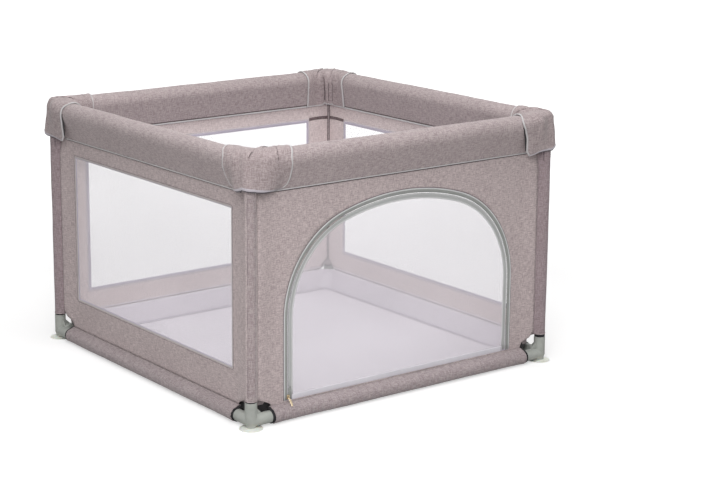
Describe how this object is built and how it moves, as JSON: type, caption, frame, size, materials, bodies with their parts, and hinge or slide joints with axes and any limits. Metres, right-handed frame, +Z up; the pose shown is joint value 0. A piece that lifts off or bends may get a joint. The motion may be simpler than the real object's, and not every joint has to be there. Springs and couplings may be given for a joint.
{
  "type": "playpen",
  "caption": "Square playpen with a padded tube frame, fabric walls with mesh windows, a zipped arch door, suction-cup feet and a lift-out floor mat.",
  "frame": {"origin": "centre of the footprint at floor level, under the suction cups", "axes": "+Z up, the wall with the arch door faces -Y, +X to its right as the frame's own right hand"},
  "size_m": [1.043, 1.043, 0.701],
  "materials": {
    "fitting": "satin moulded light grey",
    "suction_cup": "translucent cream",
    "tube": "zinc grey",
    "foam": "closed-cell black foam",
    "sleeve_fabric": "linen-look melange weave",
    "wall_fabric": "linen-look melange weave",
    "window_mesh": "fine open mesh",
    "pad_fabric": "linen-look melange weave, quilted",
    "floor_fabric": "smooth woven",
    "mat_fabric": "smooth woven, padded",
    "zip_tape": "woven tape and coil",
    "door_mesh": "fine open mesh",
    "hem_fabric": "woven binding",
    "zip_metal": "antique brass"
  },
  "bodies": {
    "root": {"corner_foot_front_left": "fitting", "corner_foot_front_right": "fitting", "corner_foot_back_right": "fitting", "corner_foot_back_left": "fitting", "corner_head_front_left": "fitting", "corner_head_front_right": "fitting", "corner_head_back_right": "fitting", "corner_head_back_left": "fitting", "suction_cups": "suction_cup", "post_tube_front_left": "tube", "post_tube_front_right": "tube", "post_tube_back_right": "tube", "post_tube_back_left": "tube", "bottom_tube_front": "tube", "bottom_tube_right": "tube", "bottom_tube_back": "tube", "bottom_tube_left": "tube", "top_tube_front": "tube", "top_tube_right": "tube", "top_tube_back": "tube", "top_tube_left": "tube", "bottom_foam": "foam", "top_foam_front": "foam", "top_foam_right": "foam", "top_foam_back": "foam", "top_foam_left": "foam", "bottom_sleeve_front": "sleeve_fabric", "bottom_sleeve_right": "sleeve_fabric", "bottom_sleeve_back": "sleeve_fabric", "bottom_sleeve_left": "sleeve_fabric", "post_sleeve_front_left": "sleeve_fabric", "post_sleeve_front_right": "sleeve_fabric", "post_sleeve_back_right": "sleeve_fabric", "post_sleeve_back_left": "sleeve_fabric", "wall_front": "wall_fabric", "wall_right": "wall_fabric", "wall_back": "wall_fabric", "wall_left": "wall_fabric", "mesh_right": "window_mesh", "mesh_back": "window_mesh", "mesh_left": "window_mesh", "top_pad_front": "pad_fabric", "top_pad_right": "pad_fabric", "top_pad_back": "pad_fabric", "top_pad_left": "pad_fabric", "corner_cap_front_left": "pad_fabric", "corner_cap_front_right": "pad_fabric", "corner_cap_back_right": "pad_fabric", "corner_cap_back_left": "pad_fabric", "floor_sheet": "floor_fabric", "zip_wall_half": "zip_tape"},
    "door_flap": {"zip_door_half": "zip_tape", "door_mesh": "door_mesh", "door_hem": "hem_fabric"},
    "zip_slider": {"zip_slider": "zip_metal"},
    "zip_pull": {"zip_pull": "zip_metal"},
    "play_mat": {"play_mat": "mat_fabric"}
  },
  "joints": [
    {"name": "door_hinge", "type": "hinge", "parent": "root", "child": "door_flap", "pos_m": [0, -0.475, 0.048], "axis": [1, 0, 0], "range_deg": [-90, 90]},
    {"name": "zip_slide", "type": "slide", "parent": "root", "child": "zip_slider", "axis": [0, 0, 1], "range_m": [0, 0.17]},
    {"name": "pull_swing", "type": "hinge", "parent": "zip_slider", "child": "zip_pull", "pos_m": [-0.3661, -0.48013, 0.056], "axis": [-1, 0, 0], "range_deg": [0, 110]},
    {"name": "mat_lift", "type": "slide", "parent": "root", "child": "play_mat", "axis": [0, 0, 1], "range_m": [0, 0.72]}
  ]
}
